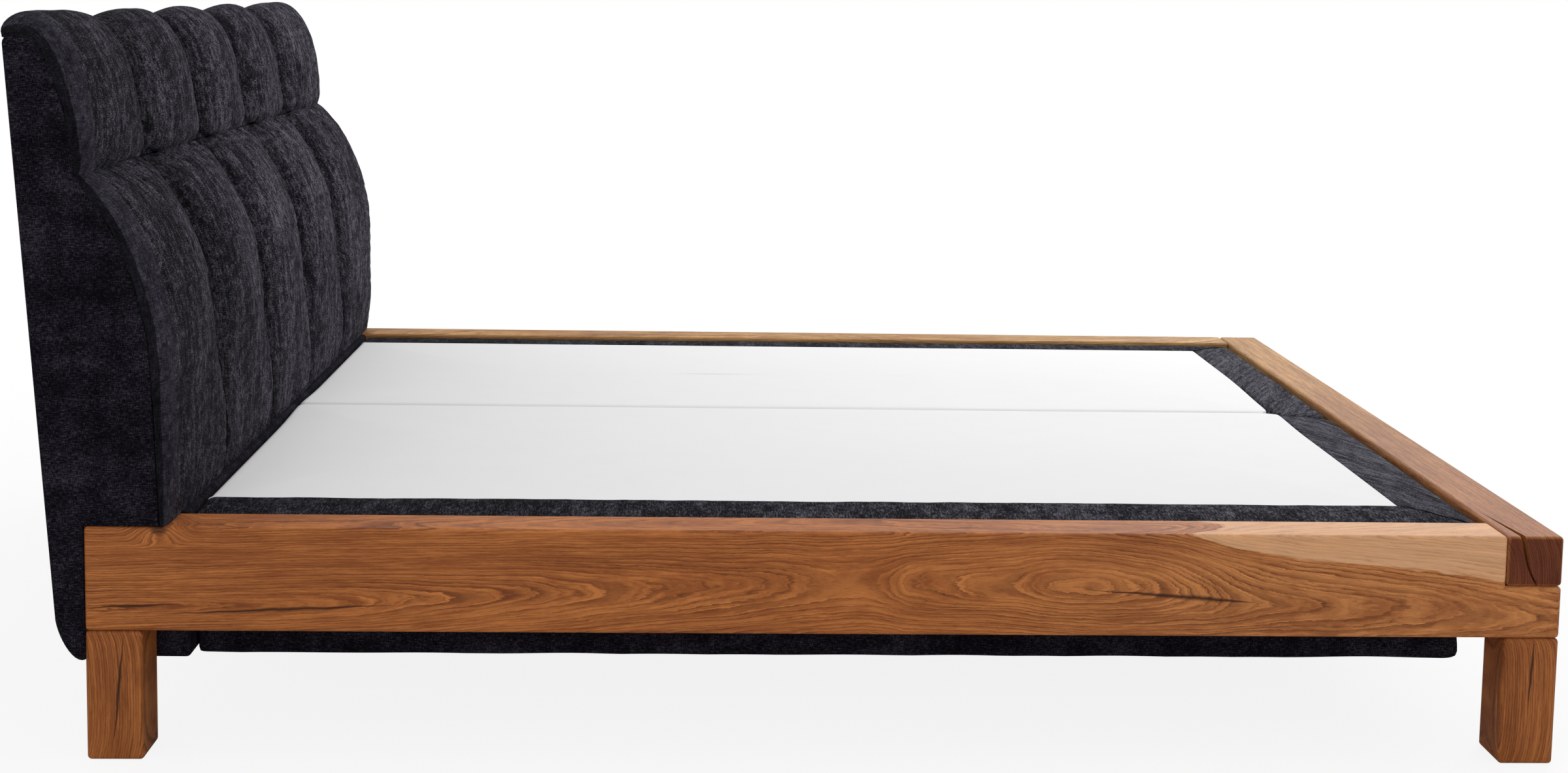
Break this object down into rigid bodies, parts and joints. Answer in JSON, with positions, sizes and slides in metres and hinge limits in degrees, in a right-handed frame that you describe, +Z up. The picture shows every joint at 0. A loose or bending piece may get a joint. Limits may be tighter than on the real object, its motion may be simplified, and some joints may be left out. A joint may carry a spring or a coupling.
{
  "type": "box spring bed",
  "caption": "Double bed with a solid oak frame on square legs, a padded headboard sewn in upright channels over two tiers, and loose box springs with white tops and dark borders.",
  "frame": {"origin": "on the floor, under the middle of the whole bed's bounding box", "axes": "+X along the bed from the headboard to the foot, +Y to the left of someone who faces the foot, +Z up"},
  "size_m": [2.35, 1.78, 1.1256],
  "materials": {
    "oak": "solid oak with knots and open grain, oiled",
    "softwood": "planed softwood, untreated",
    "plywood": "sanded plywood, untreated",
    "steel": "zinc plated",
    "black_steel": "black powder coat",
    "black_plastic": "moulded glide",
    "headboard_fabric": "dark blue-grey chenille over foam",
    "side_fabric": "dark blue-grey flat weave",
    "box_fabric": "dark grey weave over thin foam",
    "white_cover": "white knitted cover over foam",
    "foam": "soft polyurethane foam",
    "spring_block": "coil springs in sewn pockets of non-woven cloth"
  },
  "bodies": {
    "bed_frame": {"side_rail_left": "oak", "side_rail_right": "oak", "foot_beam": "oak", "leg_head_left": "oak", "leg_bolt_head_left": "steel", "leg_head_right": "oak", "leg_bolt_head_right": "steel", "leg_foot_left": "oak", "leg_bolt_foot_left": "steel", "leg_foot_right": "oak", "leg_bolt_foot_right": "steel", "beam_bolt_left": "steel", "headboard_bolt_left_lower": "steel", "cross_nut_left_lower": "steel", "headboard_bolt_left_upper": "steel", "cross_nut_left_upper": "steel", "beam_bolt_right": "steel", "headboard_bolt_right_lower": "steel", "cross_nut_right_lower": "steel", "headboard_bolt_right_upper": "steel", "cross_nut_right_upper": "steel", "ledge_screw_left_head": "steel", "ledge_screw_left_foot": "steel", "ledge_left": "softwood", "ledge_screw_right_head": "steel", "ledge_screw_right_foot": "steel", "ledge_right": "softwood", "ledge_foot": "softwood", "bearer": "softwood", "bearer_leg_head": "softwood", "glide_head": "black_plastic", "bearer_leg_middle": "softwood", "glide_middle": "black_plastic", "bearer_hanger": "black_steel", "headboard_side_left": "plywood", "headboard_rib_left": "plywood", "headboard_side_right": "plywood", "headboard_rib_right": "plywood", "headboard_top_rail": "softwood", "headboard_middle_rail": "softwood", "headboard_bottom_rail": "softwood", "headboard_under_board": "plywood", "headboard_upper_board": "plywood", "headboard_lower_board": "plywood", "headboard_back_cover": "side_fabric", "headboard_side_cover_left": "side_fabric", "headboard_side_cover_right": "side_fabric", "headboard_upper_cushion": "headboard_fabric", "headboard_lower_cushion": "headboard_fabric", "headboard_apron": "headboard_fabric"},
    "box_left": {"box_tray_left": "softwood", "spring_block_left": "spring_block", "edge_foam_left": "foam", "box_cover_left": "box_fabric", "box_pad_left": "white_cover"},
    "box_right": {"box_tray_right": "softwood", "spring_block_right": "spring_block", "edge_foam_right": "foam", "box_cover_right": "box_fabric", "box_pad_right": "white_cover"}
  },
  "joints": [
    {"name": "box_left_lift", "type": "slide", "parent": "bed_frame", "child": "box_left", "axis": [0, 0, 1], "range_m": [0, 0.3]},
    {"name": "box_right_lift", "type": "slide", "parent": "bed_frame", "child": "box_right", "axis": [0, 0, 1], "range_m": [0, 0.3]}
  ]
}
